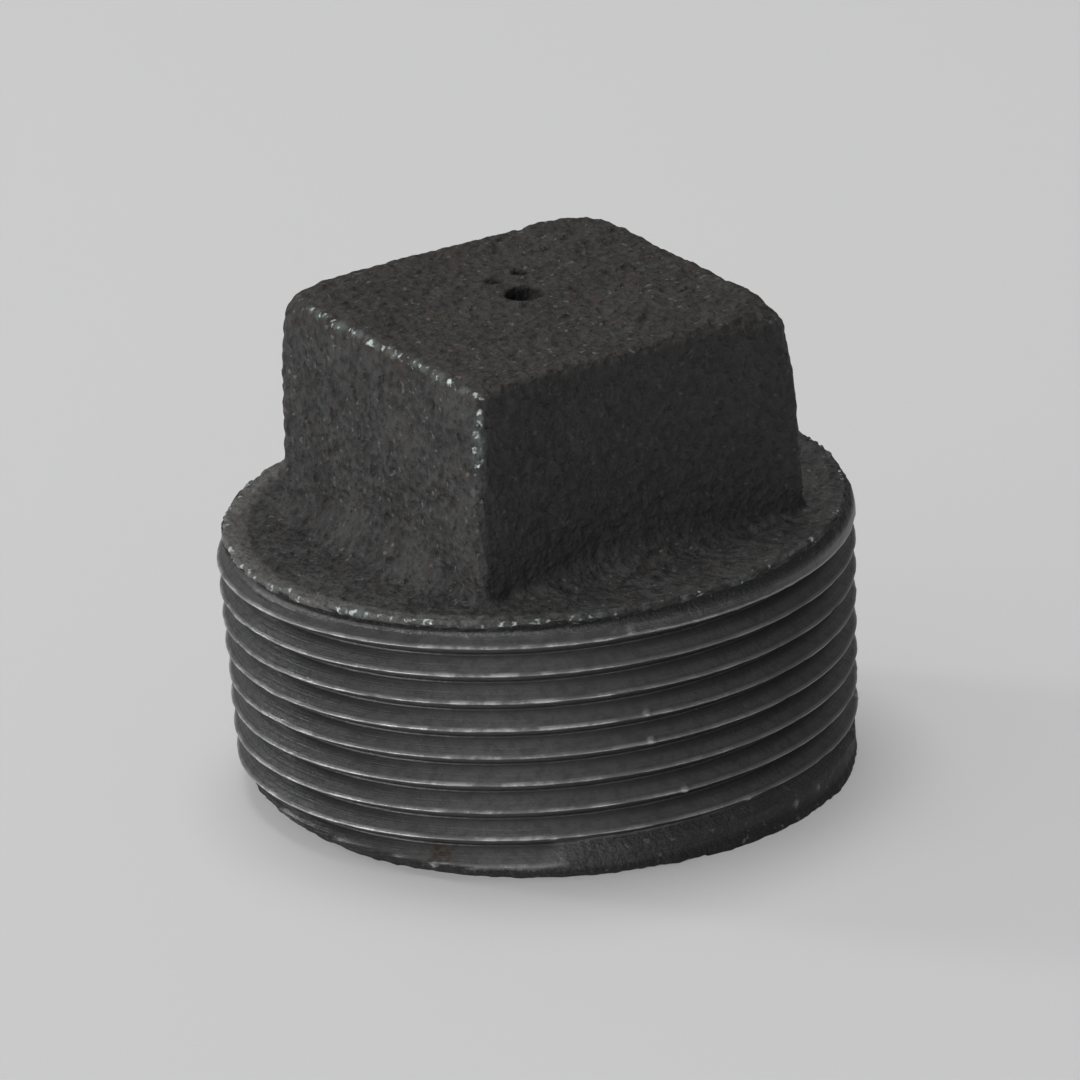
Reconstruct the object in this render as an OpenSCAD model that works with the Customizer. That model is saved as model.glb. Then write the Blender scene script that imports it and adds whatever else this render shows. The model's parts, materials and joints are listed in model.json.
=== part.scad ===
// Square-head pipe plug with an outside taper pipe thread, cored from below.
// One casting, drawn as its three zones: square head, shoulder and threaded body.
// Millimetres, +Z up. The origin is on the thread axis, in the plane of the thread's small end.

/* [Thread] */
// Pitch diameter at the small end
pitch_d_end = 45.62; // [44:0.01:48]
// Threads in each 25.4 mm
threads_per_inch = 11.5; // [8:0.5:14]
// Height of the lowest crest above the small end, on the +X side
crest_start = 1.97; // [0:0.01:2.2]
// Height of the 45 degree chamfer at the small end
end_chamfer = 1.2; // [0.4:0.1:1.7]
// Flat columns round each turn of the thread
columns = 72; // [24:8:96]

/* [Shoulder] */
// Height of the shoulder's top above the small end
shoulder_z = 21.2; // [18:0.1:24]
// Radius of the shoulder's outer edge
shoulder_r = 24.15; // [23:0.05:26]
// Thickness of the shoulder at its edge
shoulder_t = 1.6; // [1:0.1:3]
// Width of the low raised band round the shoulder's edge
band_w = 1.3; // [0.8:0.1:2.5]
// How far the shoulder's top dips inside the band
dish = 0.3; // [0.1:0.1:0.6]

/* [Square head] */
// Width across the flats at the top
across_flats = 28.6; // [26:0.1:30]
// Height of the head above the shoulder's edge
head_h = 16.6; // [14:0.1:20]
// Draft of each flat, in degrees
draft = 1.5; // [0.5:0.1:3]
// Radius of the four top edges
top_edge_r = 1.8; // [0.5:0.1:3]
// Radius of the fillet at the foot of each flat
foot_r = 3; // [1:0.1:3.5]
// Amount trimmed off the top of each upright corner, along the diagonal
corner_trim = 0.6; // [0.2:0.1:1.5]
// Radius of the sphere that eases the four top corners
crown_r = 26; // [24:0.5:32]
// Distance from the middle of the top to where each top corner starts to fall away
crown_top_r = 16.8; // [15.5:0.1:18]
// As-cast offset of the head from the thread axis, along X
head_x = 0.58; // [-0.8:0.01:0.8]
// As-cast offset of the head from the thread axis, along Y
head_y = -0.35; // [-0.8:0.01:0.8]

/* [Small hole in the head] */
// Diameter
hole_d = 3; // [1:0.1:5]
// Depth
hole_depth = 4; // [1:0.1:4.5]
// Place along X, from the middle of the head
hole_x = 0; // [-3:0.1:3]
// Place along Y, from the middle of the head
hole_y = 1.1; // [-3:0.1:3]

/* [Cored inside] */
// Radius of the hollow at its mouth
core_r = 17.4; // [15:0.1:18]
// Draft of the hollow's wall, in degrees
core_draft = 2; // [1:0.1:4]
// Depth of the wide hollow
core_depth = 16; // [12:0.1:16.5]
// Radius of the corner between the hollow's wall and its roof
core_corner_r = 2.5; // [1:0.1:4]
// Radius of the pocket that runs on up into the head
pocket_r = 8.8; // [6:0.1:9.5]
// Thickness of the iron over the pocket
pocket_roof = 6.4; // [6:0.1:8]

/* [Hidden] */
$fn = 64;

cast_iron = [0.17, 0.17, 0.175];
cut_iron = [0.24, 0.24, 0.245];

// American taper pipe thread: 60 degree form, 1 in 16 on the diameter, 0.8 of the pitch high
pitch = 25.4 / threads_per_inch;
slope = 1 / 32;
thread_h = 0.8 * pitch;
crest_r_end = pitch_d_end / 2 + thread_h / 2;
flank_z = thread_h * tan(30);
half_flat = (pitch / 2 - flank_z) / 2;
thread_z = shoulder_z - shoulder_t;

// Each pitch has four break lines, and enough pitches are drawn to pass both ends
spare_pitches = 2;
lines = 4 * (ceil(thread_z / pitch) + spare_pitches + 1);

total_z = shoulder_z + head_h;
foot_z = shoulder_z - dish;
edge_break = 0.4;
overlap = 1;

// ---------- Threaded body ----------

// Height of break line j on the column at angle a: crest's lower and upper edges, then root's
function break_z(j, a) =
    let (crest_z = crest_start + pitch * (floor(j / 4) - spare_pitches + a / 360),
         rise = [-half_flat, half_flat, half_flat + flank_z, pitch - half_flat - flank_z])
    max(0, min(thread_z, crest_z + rise[j % 4]));

// Share of the thread's height that the ridge has there: 1 on a crest, 0 in a root
function ridge(z, a) =
    let (above = (z - crest_start) / pitch - a / 360,
         off = pitch * abs(above - round(above)))
    max(0, min(1, (half_flat + flank_z - off) / flank_z));

// The chamfer at the small end cuts down the first turn's crest
function thread_r(z, a) =
    let (cut = max(thread_h * (1 - ridge(z, a)), end_chamfer - z))
    crest_r_end + slope * z - min(cut, thread_h);

function thread_point(z, a) = [thread_r(z, a) * cos(a), thread_r(z, a) * sin(a), z];

// The last column meets the first one a pitch, which is four break lines, further up
function at(i, j) = i < columns ? i * (lines + 1) + j : min(lines, j + 4);

function is_face(p, f) = p[f[0]] != p[f[1]] && p[f[1]] != p[f[2]] && p[f[2]] != p[f[0]];

module thread_solid() {
    points = [
        for (i = [0 : columns - 1], j = [0 : lines])
            let (a = 360 * i / columns)
            thread_point(break_z(j, a), a)
    ];
    lower = [
        for (i = [0 : columns - 1], j = [0 : lines - 1])
            [at(i, j), at(i + 1, j + 1), at(i + 1, j)]
    ];
    upper = [
        for (i = [0 : columns - 1], j = [0 : lines - 1])
            [at(i, j), at(i, j + 1), at(i + 1, j + 1)]
    ];
    sides = [for (f = concat(lower, upper)) if (is_face(points, f)) f];
    small_end = [for (i = [0 : columns - 1]) at(i, 0)];
    large_end = [for (i = [1 : columns]) at(columns - i, lines)];
    polyhedron(points = points, faces = concat(sides, [small_end, large_end]), convexity = 10);
}

// The wide hollow, with a rounded corner under its roof
module core_space() {
    lean = [cos(core_draft), sin(core_draft)];
    mouth_r = core_r + overlap * tan(core_draft);
    corner_z = core_depth - core_corner_r;
    corner_x = core_r - corner_z * tan(core_draft) - core_corner_r / cos(core_draft);
    wall_end = [corner_x, corner_z] + core_corner_r * lean;
    rotate_extrude() {
        polygon([[0, -overlap], [mouth_r, -overlap], wall_end, [corner_x, core_depth], [0, core_depth]]);
        translate([corner_x, corner_z])
            circle(r = core_corner_r);
    }
}

// The pocket that runs from the wide hollow up into the head
module pocket_space() {
    pocket_z = total_z - pocket_roof;
    top_r = pocket_r - (pocket_z - core_depth) * tan(core_draft);
    low_r = pocket_r + overlap * tan(core_draft);
    translate([0, 0, core_depth - overlap])
        cylinder(h = pocket_z - core_depth + overlap, r1 = low_r, r2 = top_r);
}

module threaded_body() {
    color(cut_iron)
        difference() {
            thread_solid();
            core_space();
            pocket_space();
        }
}

// ---------- Shoulder ----------

module shoulder() {
    band_r = shoulder_r - band_w;
    color(cast_iron)
        difference() {
            rotate_extrude()
                polygon([
                    [0, thread_z],
                    [shoulder_r - edge_break, thread_z],
                    [shoulder_r, thread_z + edge_break],
                    [shoulder_r, shoulder_z - edge_break],
                    [shoulder_r - edge_break, shoulder_z],
                    [band_r + dish, shoulder_z],
                    [band_r, foot_z],
                    [0, foot_z]
                ]);
            pocket_space();
        }
}

// ---------- Square head ----------

// One side of the head in section: a leaning flat with a round top edge and a fillet at its foot.
// half is the flat's distance from the middle at the top, before the edge is rounded.
module side_section(half, lean, edge_r, fillet_r) {
    out = [cos(lean), sin(lean)];
    edge_z = total_z - edge_r;
    edge_x = half + edge_r * tan(lean) - edge_r / cos(lean);
    fillet_z = foot_z + fillet_r;
    fillet_x = half + (total_z - fillet_z) * tan(lean) + fillet_r / cos(lean);
    difference() {
        union() {
            polygon([
                [0, foot_z],
                [fillet_x, foot_z],
                [fillet_x, fillet_z] - fillet_r * out,
                [edge_x, edge_z] + edge_r * out,
                [edge_x, total_z],
                [0, total_z]
            ]);
            translate([edge_x, edge_z])
                circle(r = edge_r);
        }
        translate([fillet_x, fillet_z])
            circle(r = fillet_r);
    }
}

// Two opposite flats, run on past the corners
module flats() {
    rotate([90, 0, 0])
        linear_extrude(height = 2 * across_flats, center = true)
            for (side = [0, 1])
                mirror([side, 0])
                    side_section(across_flats / 2, draft, top_edge_r, foot_r);
}

// The cylinder that rounds the four upright corners
module corner_cylinder() {
    translate([0, 0, foot_z])
        cylinder(h = total_z - foot_z, r = across_flats / sqrt(2) - corner_trim);
}

// The sphere that eases the four top corners
module crown() {
    translate([0, 0, total_z - sqrt(pow(crown_r, 2) - pow(crown_top_r, 2))])
        sphere(r = crown_r);
}

module square_head() {
    color(cast_iron)
        difference() {
            translate([head_x, head_y, 0])
                difference() {
                    intersection() {
                        flats();
                        rotate([0, 0, 90])
                            flats();
                        corner_cylinder();
                        crown();
                    }
                    translate([hole_x, hole_y, total_z - hole_depth])
                        cylinder(h = hole_depth + overlap, d = hole_d);
                }
            pocket_space();
        }
}

square_head();
shoulder();
threaded_body();
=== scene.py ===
"""Black iron pipe plug: a cast square head on a round shoulder, over a cut taper thread.

Shapes are worked out in millimetres and become metres when a mesh is made. The picture's left and right
are the camera's. Angles round the thread are measured from +X, anticlockwise seen from above.
"""

import json
import math

import bpy
import numpy as np
from mathutils import Matrix, Vector


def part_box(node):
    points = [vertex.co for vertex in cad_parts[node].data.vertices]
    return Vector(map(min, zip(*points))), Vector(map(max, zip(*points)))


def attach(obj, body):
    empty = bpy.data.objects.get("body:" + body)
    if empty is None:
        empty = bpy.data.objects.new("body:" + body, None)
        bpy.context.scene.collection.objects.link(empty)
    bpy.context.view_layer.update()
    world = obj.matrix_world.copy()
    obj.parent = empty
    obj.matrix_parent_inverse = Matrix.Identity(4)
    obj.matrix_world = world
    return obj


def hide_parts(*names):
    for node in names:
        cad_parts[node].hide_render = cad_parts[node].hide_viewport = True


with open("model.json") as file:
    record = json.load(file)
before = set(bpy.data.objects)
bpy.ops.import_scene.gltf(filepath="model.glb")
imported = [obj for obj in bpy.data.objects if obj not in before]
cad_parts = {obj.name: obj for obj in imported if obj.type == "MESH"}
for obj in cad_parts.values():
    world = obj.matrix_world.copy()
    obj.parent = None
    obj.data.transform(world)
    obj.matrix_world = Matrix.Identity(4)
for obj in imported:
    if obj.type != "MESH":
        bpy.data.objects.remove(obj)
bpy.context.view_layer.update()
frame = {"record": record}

MM = 0.001

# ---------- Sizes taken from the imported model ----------

mounts = {mount["name"]: mount for mount in frame["record"]["mounts"]}


def far_corner(node):
    """The corner of a CAD node's box that is furthest along X, Y and Z, in millimetres."""
    return np.array(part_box(node)[1]) / MM


def mount_place(name):
    """Where a mount is, in millimetres."""
    return np.array(mounts[name]["pos_m"]) / MM


TOP_Z = far_corner("square_head")[2]
SHOULDER_Z = far_corner("shoulder")[2]
THREAD_Z = far_corner("threaded_body")[2]
RIM_R = far_corner("shoulder")[0]
flat_plus_x = mount_place("wrench_flat_plus_x")
flat_minus_x = mount_place("wrench_flat_minus_x")
flat_plus_y = mount_place("wrench_flat_plus_y")
flat_minus_y = mount_place("wrench_flat_minus_y")
HEAD_X = (flat_plus_x[0] + flat_minus_x[0]) / 2
HEAD_Y = (flat_plus_y[1] + flat_minus_y[1]) / 2
DRAFT = math.asin(mounts["wrench_flat_plus_x"]["axis"][2])
HALF_FLATS = (flat_plus_x[0] - flat_minus_x[0]) / 2 - (TOP_Z - flat_plus_x[2]) * math.tan(DRAFT)

# ---------- The camera's place, which the casting's lean and wear are described from ----------

LENS = 333.3
CAMERA_DISTANCE = 764.63
CAMERA_ELEVATION = math.radians(20.85)
CAMERA_ROLL = math.radians(3.396)
CAMERA_SHIFT = (0.716, -16.888)
VIEW_TURN = math.radians(31.61)

# ---------- Cast head and shoulder ----------

# Cells along each side of the head, and rows of cells down each stretch of its sides
SIDE_CELLS = 136
EDGE_ROWS = 14
FLAT_ROWS = 56
FOOT_ROWS = 17
SHOULDER_ROWS = 27

FRONT_EDGE_R = 0.95
BACK_EDGE_R = 1.8
CORNER_R = 2.1
RIGHT_CORNER_R = 1.5
NEAR_CORNER_R = 0.8
TOP_CORNER_R = 2.7
NEAR_TOP_CORNER_R = 1.3
TOP_CORNER_H = 7
TOP_CORNER_FALL = 0.8
TOP_CORNER_FALL_START = 16.0
TOP_CORNER_FALL_W = 3.2
TOP_CORNER_FALL_H = 5
FOOT_R = 3.3
FOOT_R_AT_CORNER = 1.0

# The shoulder: depth of its dish, width of its raised band, its tilt and its place, and its lip's section
DISH = 0.3
BAND_W = 1.3
RIM_TILT = (0.0185, -0.0020)
RIM_SHIFT = (-0.34, -0.55)
RIM_OFF_CENTRE = math.hypot(*RIM_SHIFT)
LIP = [(0.05, 0.08), (0.06, 0.2), (-0.02, 0.32), (-0.2, 0.42), (-0.7, 0.7)]
SEAT_R = RIM_R - 1.8

# How far the head leans towards -Y and along X
LEAN_X = math.radians(1.30)
LEAN_Y = math.radians(-0.295)

# The small hole: its rings of cells from the centre out, each with a distance out and a depth
HOLE_X, HOLE_Y = 0.0, 1.1
HOLE_R = 1.5
HOLE_DEPTH = 4.0
HOLE_RINGS = 9
HOLE_OUT = [0.0, 0.45, 0.95, 1.32, 1.4, 1.42, 1.44, 1.46, 1.5, 1.66]
HOLE_DOWN = [4.0, 3.98, 3.95, 3.8, 3.2, 2.4, 1.5, 0.75, 0.25, 0.06]
HOLE_FLARE = 1.107

# How wide the wear is along the edges at the picture's left, front and right, and at the corner and rim
LEFT_WEAR_W = 0.8
FRONT_WEAR_W = 0.95
RIGHT_WEAR_W = 0.7
NEAR_CORNER_WEAR_W = 1.1
RIM_WEAR_W = 0.45

# Pits in the head's top: X and Y from its middle, radius and depth
PITS = [(2.1, 4.7, 0.7, 0.85), (-0.5, 4.3, 0.75, 0.65), (3.2, -1.0, 0.5, 0.2), (-7.9, -10.7, 0.5, 0.3)]

# Heights of the cast skin's broad and small lumps, its sand, its single grains and its pits
BROAD_LUMP_H = 0.09
SMALL_LUMP_H = 0.05
SAND_H = 0.07
GRAIN_H = 0.18
SKIN_PIT_H = 0.21

# The pocket inside the head
POCKET_R = 8.8
POCKET_TOP_R = 8.3
POCKET_ROOF = 6.4
POCKET_ROWS = 18

# ---------- Thread ----------

# American taper pipe thread, 11.5 to the inch, with its crest radius at the small end
PITCH = 25.4 / 11.5
TAPER = 1 / 32
THREAD_H = 0.8 * PITCH
FLANK_SLOPE = math.tan(math.radians(60))
CREST_R = 23.69
CREST_START = 1.98
CREST_HALF = 0.045
CREST_ROUND = 0.09
ROOT_ROUND = 0.12

# Columns round the thread, and heights of the cell rows in each pitch
COLUMNS = 540
ROW_HEIGHTS = [0, 0.05, 0.11, 0.22, 0.38, 0.58, 0.80, 0.98, 1.10, 1.25, 1.55, 1.85, 2.03, 2.11, 2.16]
TURNS_BELOW, TURNS_ABOVE = 2, 10

# The ridge is only half formed past this turn, and its section stays round there: depth at a rise
LAST_FULL_TURN = 7.62
ROUND_DEPTH = 0.8
ROUND_RISE = 1.8

# How far below the rim the last groove starts to run out, and its least share of the full depth
RUN_OUT_H = 1.8
RUN_OUT_SHARE = 0.04

# The small end: a chamfer cut off centre, a rough band over the last groove, and a stretch left uncut
CHAMFER_R = 22.4
CHAMFER_RISE = 1.1
CHAMFER_SHIFT = 1.55
CHAMFER_TURN = math.radians(-52.9)
CHAMFER_LEAST_R = 21.3
END_BAND_H = 0.9
END_BAND_DEPTH = 0.5
END_BAND_FLARE = 0.05
UNCUT_H = 3.1
UNCUT_DEPTH = 0.3
UNCUT_FADE_H = 1.2
UNCUT_LEAST_COS = 0.28
UNCUT_EASE_COS = 0.32
FACE_SHARE = 0.985

# The hollow below the pocket
CORE_R = 17.4
CORE_DEPTH = 16.0
CORE_CORNER_R = 2.5
CORE_DRAFT = math.radians(2)
CORE_ROWS = 18

# Small burrs on the thread: angle in degrees, height, radius and how far each is raised
BURRS = [
    (256.5, 12.5, 0.28, 0.16),
    (257.0, 10.3, 0.30, 0.18),
    (255.6, 11.4, 0.22, 0.08),
    (263.1, 5.8, 0.26, 0.12),
    (276.7, 3.5, 0.26, 0.12),
    (238.4, 3.2, 0.24, 0.10),
    (254.3, 19.2, 0.40, 0.12),
    (251.5, 19.1, 0.30, 0.10),
    (182.1, 10.2, 0.22, 0.10),
    (326.0, 4.3, 0.30, 0.14),
    (289.4, 1.4, 0.30, 0.14),
    (297.2, 1.5, 0.28, 0.12),
    (216.1, 1.2, 0.30, 0.14),
]

# Heights of the roughness on the cut thread and at its rough ends, and of the dents in its crests
CUT_ROUGH_H = 0.02
END_ROUGH_H = 0.13
CREST_DENT_H = 0.05

# The spot of rust: angle in degrees, and height
RUST_SPOT = (216.6, 2.1)

# Stretches of painted highlight on the cut flanks: degrees from the picture's front, width and strength
PAINTED_HIGHLIGHTS = [(-8, 19, 1.0), (-62, 9, 0.35)]

# ---------- Noise ----------

LATTICE = 64


def value_noise(points, cell, seed):
    """Smooth noise from -1 to 1, with bumps about one cell across."""
    table = np.random.default_rng(seed).random((LATTICE, LATTICE, LATTICE)) * 2 - 1
    q = points / cell
    base = np.floor(q).astype(int)
    f = q - base
    f = f * f * (3 - 2 * f)
    total = np.zeros(len(points))
    for corner in np.ndindex(2, 2, 2):
        step = np.array(corner)
        weight = np.prod(np.where(step, f, 1 - f), axis=1)
        total += weight * table[tuple(((base + step) % LATTICE).T)]
    return total


def fractal(points, cell, octaves, seed):
    """Layers of value noise, each half the size and half the height of the one before."""
    return sum(value_noise(points, cell / 2**k, seed + k) / 2**k for k in range(octaves))


def grains(points, cell, seed):
    """1 in the middle of each scattered grain, falling to 0 about one cell away."""
    table = np.random.default_rng(seed).random((LATTICE, LATTICE, LATTICE, 3))
    q = points / cell
    base = np.floor(q).astype(int)
    nearest = np.full(len(points), 9.0)
    for corner in np.ndindex(3, 3, 3):
        step = np.array(corner) - 1
        centre = base + step + table[tuple(((base + step) % LATTICE).T)]
        nearest = np.minimum(nearest, ((q - centre) ** 2).sum(axis=1))
    return np.clip(1 - np.sqrt(nearest), 0, 1)


def smooth(x):
    """0 below 0, 1 above 1, and an easy curve between."""
    x = np.clip(x, 0, 1)
    return x * x * (3 - 2 * x)


# ---------- Mesh helpers ----------


def quads(grid):
    """Triangles that join the points of a grid of point numbers, leaving out those with no area."""
    a, b, c, d = grid[:-1, :-1], grid[:-1, 1:], grid[1:, 1:], grid[1:, :-1]
    faces = np.concatenate([np.stack([a, b, c], -1).reshape(-1, 3), np.stack([a, c, d], -1).reshape(-1, 3)])
    same = (faces[:, 0] == faces[:, 1]) | (faces[:, 1] == faces[:, 2]) | (faces[:, 2] == faces[:, 0])
    return faces[~same]


def closed(ring_rows):
    """A grid of rings with its first column repeated at the end."""
    return np.concatenate([ring_rows, ring_rows[:, :1]], axis=1)


def thinned(outer, inner):
    """Triangles from a ring to one with a whole number of times fewer points."""
    step = len(outer) // len(inner)
    faces = []
    for i in range(len(inner)):
        following = inner[(i + 1) % len(inner)]
        for k in range(step):
            a = outer[i * step + k]
            b = outer[(i * step + k + 1) % len(outer)]
            faces.append((a, b, inner[i]))
        faces.append((outer[((i + 1) * step) % len(outer)], following, inner[i]))
    return np.array(faces)


def fan(ring, centre):
    """Triangles from a ring to one point."""
    return np.stack([ring, np.roll(ring, -1), np.full(len(ring), centre)], -1)


def normals_of(points, faces):
    """Unit normal at each point, from the faces round it."""
    corners = points[faces]
    face_normals = np.cross(corners[:, 1] - corners[:, 0], corners[:, 2] - corners[:, 0])
    total = np.zeros_like(points)
    for k in range(3):
        np.add.at(total, faces[:, k], face_normals)
    return total / np.maximum(np.linalg.norm(total, axis=1, keepdims=True), 1e-12)


def make_piece(name, points, faces, attributes, material):
    """A smooth-shaded mesh object from millimetre points, with named values at its points."""
    mesh = bpy.data.meshes.new(name)
    mesh.from_pydata((points * MM).tolist(), [], faces.tolist())
    for key, values in attributes.items():
        mesh.attributes.new(key, "FLOAT", "POINT").data.foreach_set("value", values.astype(np.float32))
    mesh.shade_smooth()
    mesh.materials.append(material)
    piece = bpy.data.objects.new(name, mesh)
    bpy.context.scene.collection.objects.link(piece)
    return piece


def ring_points(r, z, angle):
    """A level ring of points."""
    return np.stack([r * np.cos(angle), r * np.sin(angle), np.full(len(angle), z)], -1)


# ---------- Cast head and shoulder ----------


def outline(side, t, half, corner_r):
    """A point on a rounded square. t runs from -1 to 1 along a side, between the middles of its corners."""
    straight = half - corner_r
    s = np.abs(t) * (straight + corner_r * math.pi / 4)
    bend = np.maximum(s - straight, 0) / np.maximum(corner_r, 1e-6)
    out = straight + corner_r * np.cos(bend)
    along = np.sign(t) * (np.minimum(s, straight) + corner_r * np.sin(bend))
    x = np.choose(side, [out, -along, -out, along])
    y = np.choose(side, [along, out, -along, -out])
    return x, y


def rim_height(x, y):
    """Height of the shoulder's rim, which leans a little."""
    return SHOULDER_Z + RIM_TILT[0] * x + RIM_TILT[1] * y


def from_rim(x, y):
    """Distance in from the shoulder's rim, which isn't quite centred on the thread."""
    return RIM_R - RIM_OFF_CENTRE - np.hypot(x - RIM_SHIFT[0], y - RIM_SHIFT[1])


def rim_ring(angle, out, down):
    """Points at a distance outside the rim and below it."""
    r = RIM_R - RIM_OFF_CENTRE + out
    x, y = RIM_SHIFT[0] + r * np.cos(angle), RIM_SHIFT[1] + r * np.sin(angle)
    return np.stack([x, y, rim_height(x, y) - down], -1)


def shoulder_height(x, y):
    """Height of the shoulder's top: a low band round a slight dish."""
    return rim_height(x, y) - DISH * smooth((from_rim(x, y) - BAND_W) / 0.9 + 0.5)


def edge_radius(side, t):
    """Radius of the head's top edge, which is sharper on the two sides nearest the camera."""
    backward = np.cos(math.pi / 2 * side + math.pi / 4 * t - math.pi / 4)
    return FRONT_EDGE_R + (BACK_EDGE_R - FRONT_EDGE_R) * smooth(0.5 + 0.8 * backward)


def at_corner(side, t, quarter):
    """1 at one of the head's upright corners and 0 at the other three. Corner 2 is between -X and -Y."""
    turn = math.pi / 2 * side + math.pi / 4 * t
    return smooth((np.cos(turn - math.pi / 4 - math.pi / 2 * quarter) - 0.2) / 0.5)


def edge_middle(edge_r):
    """How far out the middle of the top edge's rounding is."""
    return HALF_FLATS + edge_r * math.tan(DRAFT) - edge_r / math.cos(DRAFT)


def cast_rows():
    """Rows of the skirt from the top's edge to the rim, each row a ring of 4 * SIDE_CELLS points.

    Returns the points and, for each row, how far it takes part in the head's lean."""
    n = SIDE_CELLS
    side = np.repeat(np.arange(4), n)
    t = np.tile(-1 + 2 * np.arange(n) / n, 4)
    edge_r = edge_radius(side, t)
    edge_x = edge_middle(edge_r)
    near = at_corner(side, t, 2)
    low_corner_r = CORNER_R + (NEAR_CORNER_R - CORNER_R) * near
    low_corner_r += (RIGHT_CORNER_R - CORNER_R) * at_corner(side, t, 3)
    top_corner_r = TOP_CORNER_R + (NEAR_TOP_CORNER_R - TOP_CORNER_R) * near
    foot_z = SHOULDER_Z - DISH
    foot_r = FOOT_R_AT_CORNER + (FOOT_R - FOOT_R_AT_CORNER) * smooth((1 - np.abs(t)) / 0.9)
    rows, leans = [], []

    for turn in np.linspace(0, math.pi / 2 - DRAFT, EDGE_ROWS):
        q = edge_r * math.sin(turn)
        x, y = outline(side, t, edge_x + q, top_corner_r - edge_r + q)
        rows.append(np.stack([x, y, TOP_Z - edge_r * (1 - math.cos(turn))], -1))
        leans.append(1.0)

    side_top = rows[-1][:, 2]
    side_foot = foot_z + foot_r * (1 - math.sin(DRAFT))
    for share in np.linspace(0, 1, FLAT_ROWS)[1:]:
        z = side_top + share * (side_foot - side_top)
        below = TOP_Z - z
        corner_r = low_corner_r + (top_corner_r - low_corner_r) * smooth(1 - (below - edge_r) / TOP_CORNER_H)
        x, y = outline(side, t, HALF_FLATS + below * math.tan(DRAFT), corner_r)
        rows.append(np.stack([x, y, z], -1))
        leans.append(1.0)

    foot_x = HALF_FLATS + (TOP_Z - foot_z - foot_r) * math.tan(DRAFT) + foot_r / math.cos(DRAFT)
    for turn in np.linspace(DRAFT, math.pi / 2, FOOT_ROWS)[1:]:
        half = foot_x - foot_r * math.cos(turn)
        x, y = outline(side, t, half, low_corner_r + foot_r * (1 - math.cos(turn)))
        rows.append(np.stack([x, y, foot_z + foot_r * (1 - math.sin(turn))], -1))
        leans.append(1 - smooth((turn - DRAFT) / (math.pi / 2 - DRAFT)))

    foot = rows[-1]
    angle = math.pi / 2 * side + math.pi / 4 * t
    rim = rim_ring(angle, 0, 0) - [HEAD_X, HEAD_Y, 0]
    rim[:, 2] = foot[:, 2]
    for share in np.linspace(0, 1, SHOULDER_ROWS)[1:]:
        rows.append(foot + (rim - foot) * share)
        leans.append(0.0)
    return np.array(rows), np.array(leans)


def top_grid():
    """The head's top: a square grid whose edge is the skirt's first row."""
    n = SIDE_CELLS
    u, v = np.meshgrid(-1 + 2 * np.arange(n + 1) / n, -1 + 2 * np.arange(n + 1) / n, indexing="ij")
    m = np.maximum(np.maximum(np.abs(u), np.abs(v)), 1e-9)
    on_x = np.abs(u) >= np.abs(v)
    side = np.where(on_x, np.where(u > 0, 0, 2), np.where(v > 0, 1, 3))
    t = np.choose(side, [v, -u, -v, u]) / m
    edge_r = edge_radius(side, t)
    corner_r = TOP_CORNER_R + (NEAR_TOP_CORNER_R - TOP_CORNER_R) * at_corner(side, t, 2) - edge_r
    return outline(side, t, edge_middle(edge_r) * m, corner_r * m**3)


def hole_in(x, y, z):
    """Pulls the grid's rings round the hole's centre into its flared mouth, its wall and its floor."""
    n = SIDE_CELLS
    cell = (x[-1, n // 2] - x[0, n // 2]) / n
    ci = n // 2 + round(HOLE_X / cell)
    cj = n // 2 + round(HOLE_Y / cell)
    i, j = np.meshgrid(np.arange(n + 1) - ci, np.arange(n + 1) - cj, indexing="ij")
    ring = np.maximum(np.abs(i), np.abs(j))
    on_x = np.abs(i) >= np.abs(j)
    safe = np.maximum(ring, 1)
    turn = np.where(on_x, j / safe, i / safe) * math.pi / 4
    x_angle = np.where(i >= 0, turn, math.pi - turn)
    y_angle = np.where(j > 0, math.pi / 2 - turn, turn - math.pi / 2)
    angle = np.where(on_x, x_angle, y_angle)

    # Rings inside the mouth make the hole, and those outside it ease back to the square grid
    inside = ring <= HOLE_RINGS
    beyond = ring - HOLE_RINGS
    grown = HOLE_R * HOLE_FLARE * (1 + beyond / HOLE_RINGS)
    radius = np.where(inside, np.interp(ring, np.arange(HOLE_RINGS + 1), HOLE_OUT), grown)
    round_x = HOLE_X + radius * np.cos(angle)
    round_y = HOLE_Y + radius * np.sin(angle)
    ease = smooth(beyond / HOLE_RINGS)
    new_x = round_x + (x - round_x) * ease
    new_y = round_y + (y - round_y) * ease
    inside_drop = np.interp(ring, np.arange(HOLE_RINGS + 1), HOLE_DOWN)
    drop = np.where(inside, inside_drop, HOLE_DOWN[-1] * (1 - smooth(beyond / 3)))
    return new_x, new_y, z - drop


def perimeter(grid):
    """The grid's edge points in the skirt's order."""
    return np.concatenate([grid[-1, :-1], grid[:0:-1, -1], grid[0, :0:-1], grid[:-1, 0]])


def lean_head(points, lean):
    """Moves the head off centre and leans it, while its foot follows the shoulder's top."""
    points[:, 0] += HEAD_X
    points[:, 1] += HEAD_Y
    up = points[:, 2] - SHOULDER_Z
    on_shoulder = shoulder_height(points[:, 0], points[:, 1]) - (SHOULDER_Z - DISH)
    level = 1 - lean
    points[:, 2] += level * on_shoulder + lean * (points[:, 1] * LEAN_X - points[:, 0] * LEAN_Y)
    points[:, 0] += lean * up * LEAN_Y
    points[:, 1] -= lean * up * LEAN_X


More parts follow.
